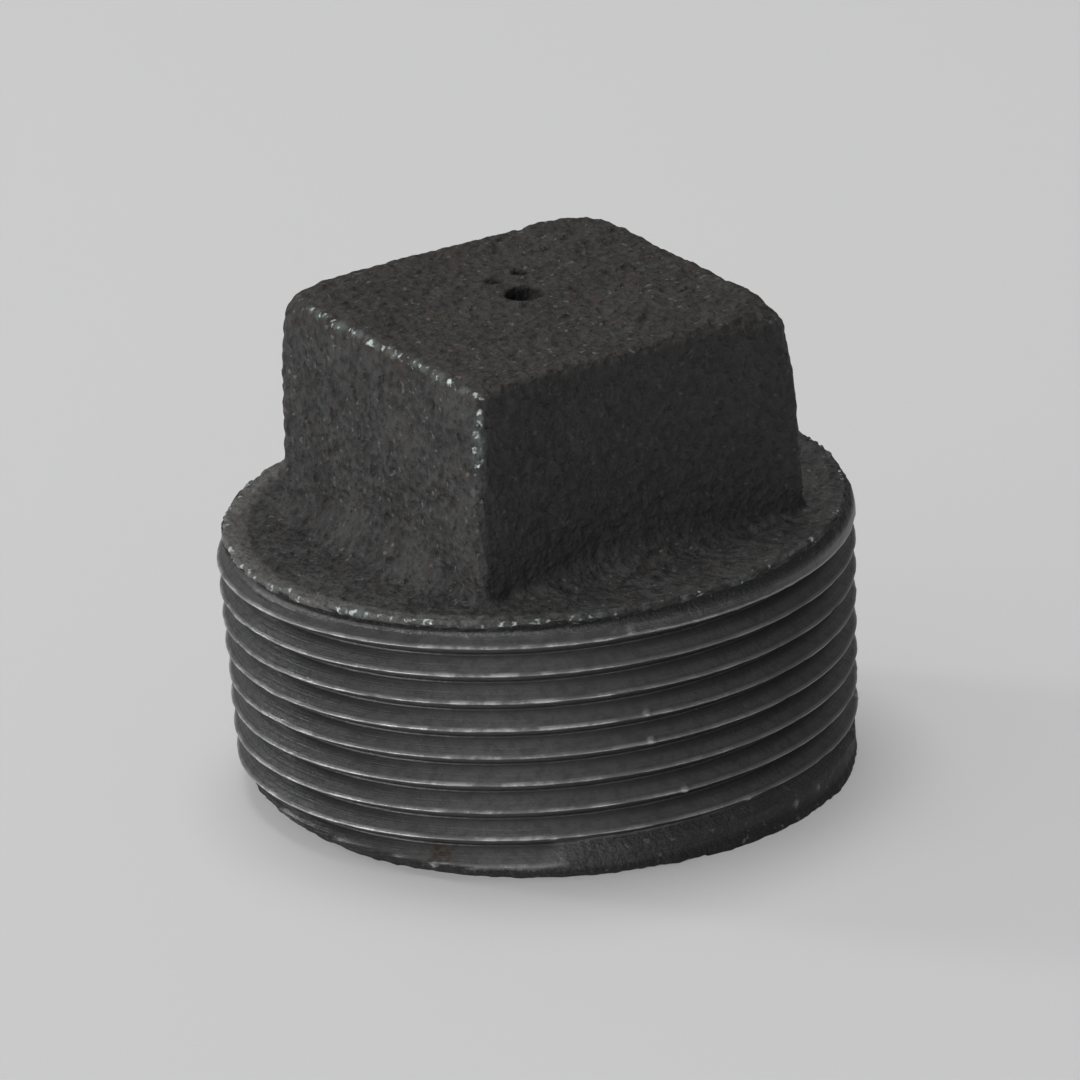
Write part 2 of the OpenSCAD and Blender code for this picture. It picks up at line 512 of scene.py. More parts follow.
def soften_top_corners(points):
    """Lowers the head's top corners, which are softer than the edges between them, the near one least."""
    from_middle = np.hypot(points[:, 0] - HEAD_X, points[:, 1] - HEAD_Y)
    turn = np.arctan2(points[:, 1] - HEAD_Y, points[:, 0] - HEAD_X)
    corner_fall = TOP_CORNER_FALL * (1 - 0.8 * smooth(np.cos(turn - math.pi * 5 / 4) * 2 - 1))
    near_edge = smooth((from_middle - TOP_CORNER_FALL_START) / TOP_CORNER_FALL_W)
    near_top = smooth((points[:, 2] - TOP_Z + TOP_CORNER_FALL_H) / TOP_CORNER_FALL_H)
    corner_fall *= near_edge * near_top
    points[:, 2] -= corner_fall


def pocket_rings(angle):
    """Rings of points down the pocket's wall and over its roof."""
    roof_z = TOP_Z - POCKET_ROOF
    levels = []
    for share in np.arange(0, POCKET_ROWS) / POCKET_ROWS:
        r = POCKET_R + (POCKET_TOP_R - POCKET_R) * share
        levels.append((r, THREAD_Z + (roof_z - THREAD_Z) * share))
    levels += [(POCKET_TOP_R - 0.4, roof_z - 0.15), (POCKET_TOP_R * 0.8, roof_z)]
    levels += [(POCKET_TOP_R * share, roof_z) for share in (0.6, 0.4, 0.2)]
    return np.array([ring_points(r, z, angle) for r, z in levels])


def cast_head():
    """Points and triangles of the head and the shoulder, before their skin is roughened."""
    rows, leans = cast_rows()
    n = SIDE_CELLS
    x, y = top_grid()
    x, y, z = hole_in(x, y, np.full(x.shape, TOP_Z))
    top = np.stack([x, y, z], -1).reshape(-1, 3)
    grid = np.arange((n + 1) ** 2).reshape(n + 1, n + 1)
    skirt = rows[1:]
    skirt_ids = len(top) + np.arange(len(skirt) * 4 * n).reshape(len(skirt), 4 * n)
    ids = np.concatenate([perimeter(grid)[None], skirt_ids])
    points = np.concatenate([top, skirt.reshape(-1, 3)])
    lean = np.concatenate([np.ones(len(top)), np.repeat(leans[1:], 4 * n)])
    lean_head(points, lean)
    soften_top_corners(points)

    # The rim's lip, the hidden seat on the thread and the pocket
    angle = math.pi / 4 * (2 * np.repeat(np.arange(4), n) + np.tile(-1 + 2 * np.arange(n) / n, 4))
    lip = [rim_ring(angle, out, down) for out, down in LIP]
    lip.append(ring_points(SEAT_R, THREAD_Z, angle))
    lip = np.array(lip)
    lip_ids = len(points) + np.arange(lip.shape[0] * 4 * n).reshape(-1, 4 * n)
    points = np.concatenate([points, lip.reshape(-1, 3)])
    ids = np.concatenate([ids, lip_ids])
    pocket = pocket_rings(angle[::4])
    pocket_ids = len(points) + np.arange(pocket.shape[0] * pocket.shape[1]).reshape(pocket.shape[:2])
    points = np.concatenate([points, pocket.reshape(-1, 3), [[0, 0, TOP_Z - POCKET_ROOF]]])

    faces = np.concatenate([
        quads(grid),
        quads(closed(ids)),
        thinned(ids[-1], pocket_ids[0]),
        quads(closed(pocket_ids)),
        fan(pocket_ids[-1], len(points) - 1),
    ])[:, ::-1]
    return points, faces


# ---------- Threaded body ----------


def soft_limit(a, b, ease):
    """The smaller of two values, rounded off where they cross."""
    return 0.5 * (a + b - np.sqrt((a - b) ** 2 + ease**2))


def uncut(z, angle):
    """1 where the casting was too small for the lowest turn, so that rough skin is left, and 0 elsewhere."""
    on_side = smooth((np.cos(angle - CHAMFER_TURN) - UNCUT_LEAST_COS) / UNCUT_EASE_COS)
    return on_side * smooth((UNCUT_H - z) / UNCUT_FADE_H)


def thread_radius(z, angle):
    """Radius of the cut thread at a height and an angle in radians."""
    turn = angle / (2 * math.pi)
    phase = (z - CREST_START) / PITCH - turn
    off = PITCH * np.abs(phase - np.round(phase))
    below_crest = -soft_limit((CREST_HALF - off) * FLANK_SLOPE, 0, CREST_ROUND)
    depth = soft_limit(below_crest, THREAD_H, ROOT_ROUND)

    # Past its last full turn the ridge is only half formed, and its upper side stays round
    ridge_turn = np.floor(phase) + turn
    above_ridge = z - CREST_START - PITCH * ridge_turn
    unformed = smooth((ridge_turn - LAST_FULL_TURN) / 0.2)
    round_depth = ROUND_DEPTH * (above_ridge / ROUND_RISE) ** 2
    depth = depth + unformed * (np.minimum(depth, round_depth) - depth)

    # The last groove runs out under the shoulder's lip
    below_rim = rim_height(RIM_R * np.cos(angle), RIM_R * np.sin(angle)) - z
    depth = np.minimum(depth, THREAD_H * np.clip(below_rim / RUN_OUT_H, RUN_OUT_SHARE, 1) ** 0.8)
    depth = np.maximum(depth, 0.22 * smooth((0.75 - below_rim) / 0.5))

    # The last grooves are closed over by a rough band at the small end
    in_band = smooth((END_BAND_H + 0.35 - z) / 0.5)
    flare = smooth(0.4 + 0.9 * np.cos(angle - CHAMFER_TURN))
    band_depth = END_BAND_DEPTH - (END_BAND_DEPTH + END_BAND_FLARE) * flare
    depth = depth + in_band * (np.minimum(depth, band_depth) - depth)
    drawn_in = smooth((np.sin(angle + VIEW_TURN) + 0.45) / 0.4)
    skin_depth = UNCUT_DEPTH * np.maximum(smooth(z / 1.3), drawn_in) - END_BAND_FLARE
    depth = depth + uncut(z, angle) * (skin_depth - depth)

    # Where the rim stands in from the thread, the top of the thread is bevelled to meet it
    rim_r = RIM_R - RIM_OFF_CENTRE + RIM_SHIFT[0] * np.cos(angle) + RIM_SHIFT[1] * np.sin(angle)
    bevel_r = rim_r - 0.05 + 0.9 * below_rim

    # The small end is chamfered off centre
    bottom_r = np.maximum(CHAMFER_R + CHAMFER_SHIFT * np.cos(angle - CHAMFER_TURN), CHAMFER_LEAST_R)
    return np.minimum(np.minimum(CREST_R + TAPER * z - depth, bottom_r + CHAMFER_RISE * z), bevel_r)


def hollow_rings(angle):
    """Rings of points from the seat in through the pocket's mouth, and down the hollow's roof and wall."""
    corner_z = CORE_DEPTH - CORE_CORNER_R
    corner_r = CORE_R - corner_z * math.tan(CORE_DRAFT) - CORE_CORNER_R
    roof_r = POCKET_R + 0.4
    levels = [(SEAT_R, THREAD_Z)]
    levels += [(POCKET_R, THREAD_Z - step * (THREAD_Z - CORE_DEPTH) / 5) for step in range(5)]
    levels += [(POCKET_R + 0.1, CORE_DEPTH + 0.3)]
    levels += [(roof_r + step * (corner_r - roof_r) / 8, CORE_DEPTH) for step in range(9)]
    for turn in np.linspace(0, math.pi / 2, 7)[1:]:
        out, up = CORE_CORNER_R * math.sin(turn), CORE_CORNER_R * math.cos(turn)
        levels.append((corner_r + out, corner_z + up))
    wall_top = levels[-1]
    for share in np.arange(1, CORE_ROWS) / CORE_ROWS:
        levels.append((wall_top[0] + (CORE_R - wall_top[0]) * share, wall_top[1] * (1 - share)))
    levels += [(CORE_R, 0.25), (CORE_R + 0.3, 0)]
    return np.array([ring_points(r, z, angle) for r, z in levels])


def threaded_body():
    """Points and triangles of the thread and the hollow inside it, before their skin is roughened."""
    heights = np.array(ROW_HEIGHTS) / PITCH
    turns = np.arange(-TURNS_BELOW, TURNS_ABOVE)
    phase = (turns[:, None] + heights).ravel()
    angle = 2 * math.pi * np.arange(COLUMNS) / COLUMNS
    edge_z = rim_height(RIM_R * np.cos(angle), RIM_R * np.sin(angle)) - 0.2
    raw = CREST_START + PITCH * (phase + angle[:, None] / (2 * math.pi))
    first = (raw <= 0).sum(axis=1) - 1
    last = (raw < edge_z[:, None]).sum(axis=1)
    row = np.clip(np.arange(len(phase)), first[:, None], last[:, None])
    numbers = np.arange(COLUMNS)[:, None] * len(phase) + row
    kept, ids = np.unique(numbers, return_inverse=True)
    ids = ids.reshape(numbers.shape)
    column = kept // len(phase)
    z = np.clip(raw.ravel()[kept], 0, edge_z[column])
    a = angle[column]
    r = thread_radius(z, a)
    points = np.stack([r * np.cos(a), r * np.sin(a), z], -1)

    # The seam: one turn on, the same row is a pitch higher
    per_turn = len(heights)
    seam = np.concatenate([ids[0, per_turn:], np.full(per_turn, ids[0, -1])])
    grid = np.concatenate([ids, seam[None]])

    inner = hollow_rings(angle[::3])
    inner_ids = len(points) + np.arange(inner.shape[0] * inner.shape[1]).reshape(inner.shape[:2])
    points = np.concatenate([points, inner.reshape(-1, 3)])

    # A ring just inside the rough edge keeps the face that the plug stands on flat
    face_ids = len(points) + np.arange(COLUMNS)
    points = np.concatenate([points, points[ids[:, 0]] * [FACE_SHARE, FACE_SHARE, 1]])
    faces = np.concatenate([
        quads(grid)[:, ::-1],
        thinned(ids[:, -1], inner_ids[0]),
        quads(closed(inner_ids)),
        quads(closed(np.stack([ids[:, 0], face_ids])))[:, ::-1],
        thinned(face_ids, inner_ids[-1])[:, ::-1],
    ])
    return points, faces


# ---------- Surface roughness and wear ----------


def picture_angle(points):
    """Angle round the axis, in radians from the picture's right, anticlockwise seen from above."""
    return np.arctan2(points[:, 1], points[:, 0]) + VIEW_TURN


def shaded_side(normals):
    """1 on the side that faces -Y, which lies in shade, and 0 elsewhere. There the skin is made less rough
    and its colour painted a flat, even grey, as painted shade.
    """
    return smooth((-normals[:, 1] - 0.6) / 0.3)


def cast_skin_height(points, normals):
    """Height of the as-cast skin over the smooth shape: lumps, sand grains and pits."""
    lumps = BROAD_LUMP_H * fractal(points, 7.0, 2, 11) + SMALL_LUMP_H * fractal(points, 2.2, 2, 21)
    sand = SAND_H * fractal(points, 0.9, 1, 31) + GRAIN_H * grains(points, 0.8, 41) - 0.05
    pits = smooth((value_noise(points, 1.0, 51) - 0.45) / 0.25)
    return (lumps + sand - SKIN_PIT_H * pits) * (1 - 0.55 * shaded_side(normals))


def from_hole(points):
    """Distance from the middle line of the small hole, which leans with the head."""
    up = points[:, 2] - SHOULDER_Z
    x = points[:, 0] - HEAD_X - up * LEAN_Y - HOLE_X
    y = points[:, 1] - HEAD_Y + up * LEAN_X - HOLE_Y
    return np.hypot(x, y)


def from_pit(points, x, y):
    """Distance from the middle of one of the pits in the head's top."""
    return np.hypot(points[:, 0] - HEAD_X - x, points[:, 1] - HEAD_Y - y)


def roughen_cast(points, faces):
    """The cast piece with its rough skin, its pits and its jagged rim."""
    normals = normals_of(points, faces)
    radius = np.hypot(points[:, 0], points[:, 1])
    at_top = points[:, 2] > TOP_Z - HOLE_DEPTH - 1
    clear_of_hole = np.where(at_top, smooth((from_hole(points) - HOLE_R) / 0.9), 1)
    height = cast_skin_height(points, normals) * (0.1 + 0.9 * clear_of_hole)
    for x, y, r, depth in PITS:
        height -= depth * smooth(1.3 - from_pit(points, x, y) / r) * (points[:, 2] > TOP_Z - 1)
    rough = points + normals * height[:, None]

    near_rim = smooth(1.4 - from_rim(points[:, 0], points[:, 1]) / 0.5) * (points[:, 2] > THREAD_Z + 0.2)
    jag = 0.10 * fractal(points, 0.7, 2, 61) - 0.16 * smooth((value_noise(points, 1.3, 71) - 0.35) / 0.3)
    rough[:, :2] *= (1 + near_rim * jag / np.maximum(radius, 1))[:, None]
    return rough


def painted_hollow_shade(points):
    """How much painted shade each point gets for being in the small hole or in a pit, from 0 to 1: the
    hollows are painted black.

    The hole's wall gets a little less painted shade on the picture's right, where the light reaches it."""
    away = from_hole(points)
    turn = np.arctan2(points[:, 1] - HEAD_Y - HOLE_Y, points[:, 0] - HEAD_X - HOLE_X) + VIEW_TURN
    black = 1 - 0.35 * smooth(np.cos(turn) * 1.5) * smooth(away / HOLE_R * 4 - 2)
    hollow_shade = black * smooth((1.02 * HOLE_R - away) / 0.15 + 0.5)
    for x, y, r, depth in PITS:
        hollow_shade = np.maximum(hollow_shade, depth * 1.2 * smooth((r - from_pit(points, x, y)) / 0.3 + 0.5))
    return np.minimum(hollow_shade, 1) * (points[:, 2] > TOP_Z - HOLE_DEPTH - 1)


def cast_wear(points):
    """How worn each point of the cast piece is, from 0 to 1: bright along some edges."""
    up = points[:, 2] - SHOULDER_Z
    x = points[:, 0] - HEAD_X - up * LEAN_Y
    y = points[:, 1] - HEAD_Y + up * LEAN_X
    below_top = TOP_Z - points[:, 2] + points[:, 1] * LEAN_X - points[:, 0] * LEAN_Y
    side = HALF_FLATS + below_top * math.tan(DRAFT)
    to_minus_x, to_minus_y = side + x, side + y
    on_head = smooth((points[:, 2] - SHOULDER_Z - 1.5) / 2)
    left_edge = smooth(1.35 - np.hypot(to_minus_x, below_top) / LEFT_WEAR_W)
    down_edge = 0.3 + 0.7 * smooth(1.7 - below_top / 7)
    front_edge = down_edge * smooth(1.35 - np.hypot(to_minus_x, to_minus_y) / FRONT_WEAR_W)
    right_edge = 0.3 * smooth(1.3 - np.hypot(to_minus_y, below_top) / RIGHT_WEAR_W)
    from_corner = np.sqrt(to_minus_x**2 + to_minus_y**2 + below_top**2)
    near_corner = smooth(1.6 - from_corner / NEAR_CORNER_WEAR_W)
    edges = np.maximum(np.maximum(left_edge, front_edge), right_edge)
    head = on_head * np.maximum(edges, near_corner)
    turn = picture_angle(points)
    # Painted highlight: the rim's wear is painted up to a fifth stronger towards the picture's left, the lit
    # side
    to_left = 0.78 + 0.22 * smooth(0.5 - np.cos(turn) * 1.1 - 0.3 * np.sin(turn))
    rim = 0.85 * to_left * smooth(1.2 - np.abs(from_rim(points[:, 0], points[:, 1])) / RIM_WEAR_W)
    return np.maximum(head, rim * (points[:, 2] > SHOULDER_Z - 1.2))


def cast_band(points):
    """1 where the raised band round the shoulder is painted paler, as painted light on the picture's left,
    the lit side, and 0 elsewhere.
    """
    to_left = smooth((0.35 - np.cos(picture_angle(points))) / 1.1)
    on_band = smooth((BAND_W + 0.6 - from_rim(points[:, 0], points[:, 1])) / 0.5)
    return to_left * on_band * (points[:, 2] > THREAD_Z + 0.1)


# ---------- Materials ----------

CAST_DARK, CAST_PALE = 0.018, 0.045
CAST_SPECULAR = 0.2
CAST_COARSE_BUMP = 0.0005
CAST_SAND_BUMP = 0.00012
THREAD_SPECULAR = 0.3
THREAD_LINE_BUMP = 0.00004
THREAD_SAND_BUMP = 0.0005


def add(tree, kind, sockets=(), **options):
    """A new node. Each socket value is a constant, or another node's output to link."""
    made = tree.nodes.new(kind)
    for key, value in options.items():
        setattr(made, key, value)
    for key, value in dict(sockets).items():
        if isinstance(value, bpy.types.NodeSocket):
            tree.links.new(value, made.inputs[key])
        else:
            made.inputs[key].default_value = value
    return made


def maths(tree, operation, a, b):
    """The result of a sum on two values."""
    return add(tree, "ShaderNodeMath", {0: a, 1: b}, operation=operation).outputs[0]


def times(tree, a, b):
    """The product of two values."""
    return maths(tree, "MULTIPLY", a, b)


def noise(tree, where, scale, detail=2.0, roughness=0.5):
    """Noise from about 0 to 1, with a number of bumps per millimetre."""
    sockets = {"Vector": where, "Scale": scale, "Detail": detail, "Roughness": roughness}
    return add(tree, "ShaderNodeTexNoise", sockets).outputs["Fac"]


def ramp(tree, value, low, high, to_low=0.0, to_high=1.0):
    """An easy change from one value to another as the input goes from low to high."""
    sockets = {"Value": value, "From Min": low, "From Max": high, "To Min": to_low, "To Max": to_high}
    return add(tree, "ShaderNodeMapRange", sockets, interpolation_type="SMOOTHSTEP").outputs["Result"]


def mixed(tree, factor, a, b):
    """Colour a, changed towards colour b by a factor."""
    return add(tree, "ShaderNodeMix", {0: factor, 6: a, 7: b}, data_type="RGBA").outputs[2]


def attribute(tree, name):
    """A value that make_piece stored at the mesh's points."""
    return add(tree, "ShaderNodeAttribute", attribute_name=name).outputs["Fac"]


def bump(tree, height, distance, normal=None):
    """A normal tilted by a height, whose full range is a distance in metres."""
    sockets = {"Height": height, "Distance": distance, "Strength": 1.0}
    if normal is not None:
        sockets["Normal"] = normal
    return add(tree, "ShaderNodeBump", sockets).outputs["Normal"]


def new_material(name):
    """A material, its node tree, its shader, and the place on the object in millimetres."""
    material = bpy.data.materials.new(name)
    material.use_nodes = True
    tree = material.node_tree
    shader = tree.nodes["Principled BSDF"]
    where = add(tree, "ShaderNodeTexCoord").outputs["Object"]
    in_mm = add(tree, "ShaderNodeVectorMath", {0: where, "Scale": 1 / MM}, operation="SCALE")
    return material, tree, shader, in_mm.outputs["Vector"]


def grey(value, red=0.0, green=0.0, blue=0.0):
    """A grey, with a little more or less of each colour."""
    return (value + red, value + green, value + blue, 1)


def cast_skin():
    """Black as-cast iron: matt, sandy, a little brown and green in patches, bright where it is worn."""
    material, tree, shader, mm = new_material("cast_skin")
    height = add(tree, "ShaderNodeSeparateXYZ", {0: mm}).outputs["Z"]
    tinted = ramp(tree, height, TOP_Z - 1.8, TOP_Z - 0.7, 0.2, 1.0)
    mottle = noise(tree, mm, 1.35)
    sand = noise(tree, mm, 2.3, 1)
    base = mixed(tree, ramp(tree, mottle, 0.32, 0.68), grey(CAST_DARK), grey(CAST_PALE, 0.001))
    broad = noise(tree, mm, 0.2, 3)
    base = mixed(tree, ramp(tree, broad, 0.5, 0.7, 0, 0.6), base, grey(CAST_PALE * 1.15, 0, 0.001, -0.001))
    base = mixed(tree, ramp(tree, broad, 0.5, 0.32, 0, 0.5), base, grey(CAST_DARK))

    # Brown, most of all on the head's top, and green
    brown = ramp(tree, noise(tree, mm, 0.7, 3, 0.7), 0.50, 0.64, 0, 0.9)
    base = mixed(tree, times(tree, brown, tinted), base, grey(0.034, 0.011, -0.001, -0.007))
    base = mixed(tree, times(tree, tinted, 0.4), base, (0.025, 0.0215, 0.0185, 1))
    green = ramp(tree, noise(tree, mm, 0.5, 3, 0.7), 0.57, 0.70, 0, 0.6)
    base = mixed(tree, green, base, grey(CAST_PALE, -0.002, 0.006, 0.001))

    # Sand grains and pits; painted shade as an even grey on the shaded -Y side and as black in the hole and
    # pits; painted light on the band at the picture's left
    pale_grains = ramp(tree, noise(tree, mm, 1.9, 1), 0.66, 0.76, 0, 0.7)
    base = mixed(tree, pale_grains, base, grey(0.12, 0.002, 0, -0.003))
    pits = ramp(tree, noise(tree, mm, 1.5, 2), 0.58, 0.70, 0, 0.5)
    base = mixed(tree, pits, base, grey(0.004))
    # Painted shade: the -Y side, which lies in shade, is painted a flat, even grey
    base = mixed(tree, times(tree, attribute(tree, "even_shade"), 0.65), base, grey(0.029))
    # Painted light: the band is painted paler on the picture's left, the lit side
    band = times(tree, attribute(tree, "band"), ramp(tree, mottle, 0.25, 0.6, 0.5, 0.95))
    base = mixed(tree, band, base, grey(0.094, 0.002, 0, -0.005))
    # Painted shade: the small hole and the pits are painted black
    base = mixed(tree, attribute(tree, "hollow_shade"), base, grey(0.002))

    # Edges are rubbed paler, and flecked with bare metal
    wear = attribute(tree, "wear")
    brightening = maths(tree, "ADD", times(tree, wear, 0.4), noise(tree, mm, 0.9, 3))
    base = mixed(tree, ramp(tree, brightening, 0.76, 1.0, 0, 0.8), base, grey(0.09, -0.008, 0.005, 0.002))
    flecks = maths(tree, "ADD", times(tree, wear, 0.42), noise(tree, mm, 1.5, 2, 0.6))
    worn = ramp(tree, flecks, 0.90, 1.05)
    base = mixed(tree, worn, base, grey(0.50, -0.04))
    tree.links.new(base, shader.inputs["Base Color"])
    tree.links.new(times(tree, worn, 0.5), shader.inputs["Metallic"])
    rough = maths(tree, "SUBTRACT", ramp(tree, sand, 0.3, 0.7, 0.78, 0.6), times(tree, worn, 0.2))
    tree.links.new(rough, shader.inputs["Roughness"])
    shader.inputs["Specular IOR Level"].default_value = CAST_SPECULAR
    coarse = bump(tree, maths(tree, "SUBTRACT", mottle, times(tree, pits, 0.2)), CAST_COARSE_BUMP)
    tree.links.new(bump(tree, sand, CAST_SAND_BUMP, coarse), shader.inputs["Normal"])
    return material


def cut_thread():
    """Cut and oiled iron: dark satin flanks with fine lines along the thread, painted highlights and painted
    shade, and worn, brighter crests, painted brighter still on the lit side.
    """
    material, tree, shader, mm = new_material("cut_thread")
    split = add(tree, "ShaderNodeSeparateXYZ", {0: mm})

    # The lines change quickly across the thread's section and slowly along it
    across = [times(tree, attribute(tree, name), 3.2) for name in ("phase_cos", "phase_sin")]
    along = [times(tree, split.outputs[axis], 0.09) for axis in ("X", "Y")]
    combined = add(tree, "ShaderNodeCombineXYZ", {0: across[0], 1: across[1], 2: along[0]}).outputs[0]
    sockets = {"Vector": combined, "W": along[1], "Scale": 1.6, "Detail": 3.0, "Roughness": 0.6}
    lines = add(tree, "ShaderNodeTexNoise", sockets, noise_dimensions="4D").outputs["Fac"]

    # Flanks, with their painted highlights, painted light on their upper sides and painted shade at their
    # roots
    mottle = noise(tree, mm, 1.1, 4, 0.65)
    base = mixed(tree, ramp(tree, lines, 0.32, 0.68), grey(0.065, 0, 0.001), grey(0.105, 0, 0.003, 0.001))
    base = mixed(tree, times(tree, attribute(tree, "painted_highlight"), 0.9), base, grey(0.21, 0, 0.003))
    base = mixed(tree, times(tree, attribute(tree, "flank_painted_light"), 0.6), base, grey(0.16, 0, 0.003))
    # Painted shade at the roots
    base = mixed(tree, times(tree, attribute(tree, "root"), 0.75), base, grey(0.03))
    base = mixed(tree, ramp(tree, mottle, 0.42, 0.66, 0, 0.35), base, grey(0.05, 0.001, 0.002))

    # Rough skin at the two ends
    rough_end = attribute(tree, "rough_end")
    base = mixed(tree, rough_end, base, grey(0.018))
    specks = times(tree, rough_end, ramp(tree, noise(tree, mm, 1.8), 0.62, 0.74, 0, 0.7))
    base = mixed(tree, specks, base, grey(0.14))

    # Crests are rubbed brighter; towards -X, the lit side, and in the stretches of painted highlight they
    # are painted brighter still, as painted highlight
    crest = times(tree, attribute(tree, "crest"), maths(tree, "SUBTRACT", 1.0, rough_end))
    base = mixed(tree, crest, base, grey(0.24, 0, 0.002))
    to_minus_x = ramp(tree, split.outputs["X"], -16, 12, 0.45, 0.1)
    brightening = maths(tree, "MAXIMUM", to_minus_x, attribute(tree, "painted_highlight"))
    patchy = ramp(tree, noise(tree, mm, 0.42, 4, 0.65), 0.44, 0.62)
    bright = times(tree, times(tree, crest, patchy), brightening)
    bright = maths(tree, "MAXIMUM", bright, times(tree, attribute(tree, "burr"), 0.35))
    base = mixed(tree, bright, base, grey(0.65, 0, 0, -0.008))

    # Rust, faint at the rough ends and stronger in one spot
    patches = ramp(tree, noise(tree, mm, 0.6, 4, 0.7), 0.60, 0.70, 0, 0.3)
    spot = times(tree, attribute(tree, "rusty"), ramp(tree, mottle, 0.4, 0.55))
    rust = maths(tree, "MAXIMUM", times(tree, rough_end, patches), spot)
    base = mixed(tree, rust, base, (0.07, 0.030, 0.014, 1))
    tree.links.new(base, shader.inputs["Base Color"])
    metal = maths(tree, "SUBTRACT", 0.85, times(tree, rough_end, 0.75))
    tree.links.new(metal, shader.inputs["Metallic"])
    rough = maths(tree, "ADD", ramp(tree, lines, 0.3, 0.7, 0.42, 0.35), times(tree, rough_end, 0.3))
    tree.links.new(rough, shader.inputs["Roughness"])
    shader.inputs["Specular IOR Level"].default_value = THREAD_SPECULAR
    fine = bump(tree, lines, THREAD_LINE_BUMP)
    sand = times(tree, noise(tree, mm, 2.2, 3, 0.6), maths(tree, "ADD", rough_end, 0.12))
    tree.links.new(bump(tree, sand, THREAD_SAND_BUMP, fine), shader.inputs["Normal"])
    return material


# ---------- Pieces ----------


def thread_values(points):
    """The values that the thread's material reads, each from 0 to 1 apart from the phase's, from -1 to 1.

    crest and root follow the thread's section, root as painted shade towards the groove's root, the upper
    flanks carry painted light and two stretches of painted highlight lie round them, and phase_cos and
    phase_sin carry lines along it. rough_end is the rough skin at both ends, and rusty is a spot of rust."""
    angle = np.arctan2(points[:, 1], points[:, 0]) % (2 * math.pi)
    radius = np.hypot(points[:, 0], points[:, 1])
    phase = (points[:, 2] - CREST_START) / PITCH - angle / (2 * math.pi)
    off = PITCH * np.abs(phase - np.round(phase))
    outside = radius > CORE_R + 1
    chamfer = CHAMFER_R + CHAMFER_SHIFT * np.cos(angle - CHAMFER_TURN) + CHAMFER_RISE * points[:, 2]
    in_band = smooth((END_BAND_H + 0.3 - points[:, 2]) / 0.4)
    below_rim = rim_height(points[:, 0], points[:, 1]) - points[:, 2]
    under_rim = smooth(1.9 - below_rim / 0.9)
    rough_end = np.maximum(smooth((radius - chamfer) / 0.1 + 1.5), np.maximum(in_band, under_rim))
    cut = 1 - smooth(uncut(points[:, 2], angle) * 2.5)
    rough_end = np.maximum(rough_end, 0.7 * (1 - cut))
    rough_end = np.where(outside, rough_end, 0.6)
    crest = np.where(outside, cut * smooth(1 - (off - 0.05) / 0.16), 0)
    # Painted light: the upper flanks are painted paler, standing in for light that the groove's shade keeps
    # off
    upper_flank = smooth((off - 0.08) / 0.25) * smooth((0.85 - off) / 0.4)
    flank_painted_light = np.where(phase > np.round(phase), cut * upper_flank, 0)
    spot = ring_points(CREST_R, RUST_SPOT[1], np.array([math.radians(RUST_SPOT[0])]))[0]
    rusty = smooth(1.6 - np.linalg.norm((points - spot) * [0.8, 0.8, 1.6], axis=1))
    # Painted highlight: two soft stretches round the thread where the flanks are painted paler
    from_front = (np.degrees(picture_angle(points)) + 270) % 360 - 180
    painted_highlight = np.zeros(len(points))
    for middle, width, strength in PAINTED_HIGHLIGHTS:
        painted_highlight += strength * np.exp(-(((from_front - middle) / width) ** 2))
    # Painted shade: darker towards the groove's root
    root = np.where(outside, cut * smooth((off - 0.6) / 0.5), 0)
    return {
        "crest": crest,
        "flank_painted_light": flank_painted_light,
        "painted_highlight": np.clip(painted_highlight, 0, 1),
        "root": root,
        "phase_cos": np.cos(2 * math.pi * phase),
        "phase_sin": np.sin(2 * math.pi * phase),
        "rough_end": rough_end,
        "rusty": rusty,
    }


def build_cast_head():
    """The head and the shoulder, as one rough piece."""
    points, faces = cast_head()
    rough = roughen_cast(points, faces)
    values = {
        "wear": cast_wear(points),
        "hollow_shade": painted_hollow_shade(points),
        "even_shade": shaded_side(normals_of(points, faces)),
        "band": cast_band(points),
    }
    piece = make_piece("cast_head", rough, faces, values, cast_skin())
    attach(piece, "root")
    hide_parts("square_head", "shoulder")


def burrs_at(points):
    """How strongly each point belongs to one of the small burrs on the thread, and how far it is raised."""
    radius = np.hypot(points[:, 0], points[:, 1])
    shine, height = np.zeros(len(points)), np.zeros(len(points))
    for degrees, z, size, raised in BURRS:
        place = ring_points(CREST_R, z, np.array([math.radians(degrees)]))[0]
        away = np.linalg.norm(points - place, axis=1)
        inside = smooth(1.5 - away / size) * (radius > CORE_R + 1)
        shine = np.maximum(shine, inside)
        height = np.maximum(height, raised * inside)
    return shine, height


def build_threaded_body():
    """The thread and the hollow inside it, with burrs, dented crests and rough ends."""
    points, faces = threaded_body()
    values = thread_values(points)
    normals = normals_of(points, faces)
    shine, raised = burrs_at(points)
    values["burr"] = shine
    height = CUT_ROUGH_H * fractal(points, 1.2, 2, 81)
    height += values["rough_end"] * END_ROUGH_H * fractal(points, 0.9, 2, 91)
    dents = smooth((value_noise(points, 2.3, 95) - 0.15) / 0.4)
    height += raised - values["crest"] * CREST_DENT_H * dents
    on_face = (points[:, 2] == 0) & (normals[:, 2] < -0.99)
    rough = points + normals * np.where(on_face, 0, height)[:, None]
    rough[:, 2] = np.maximum(rough[:, 2], 0)
    piece = make_piece("thread_body", rough, faces, values, cut_thread())
    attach(piece, "root")
    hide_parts("threaded_body")


# ---------- Camera, floor and light ----------

FLOOR_COLOUR = (0.62, 0.62, 0.622, 1)
FLOOR_HALF = 6.0
FLOOR_Z = -0.02 * MM
ROOM_AT_RIGHT = 0.12
ROOM_AT_LEFT = 0.34

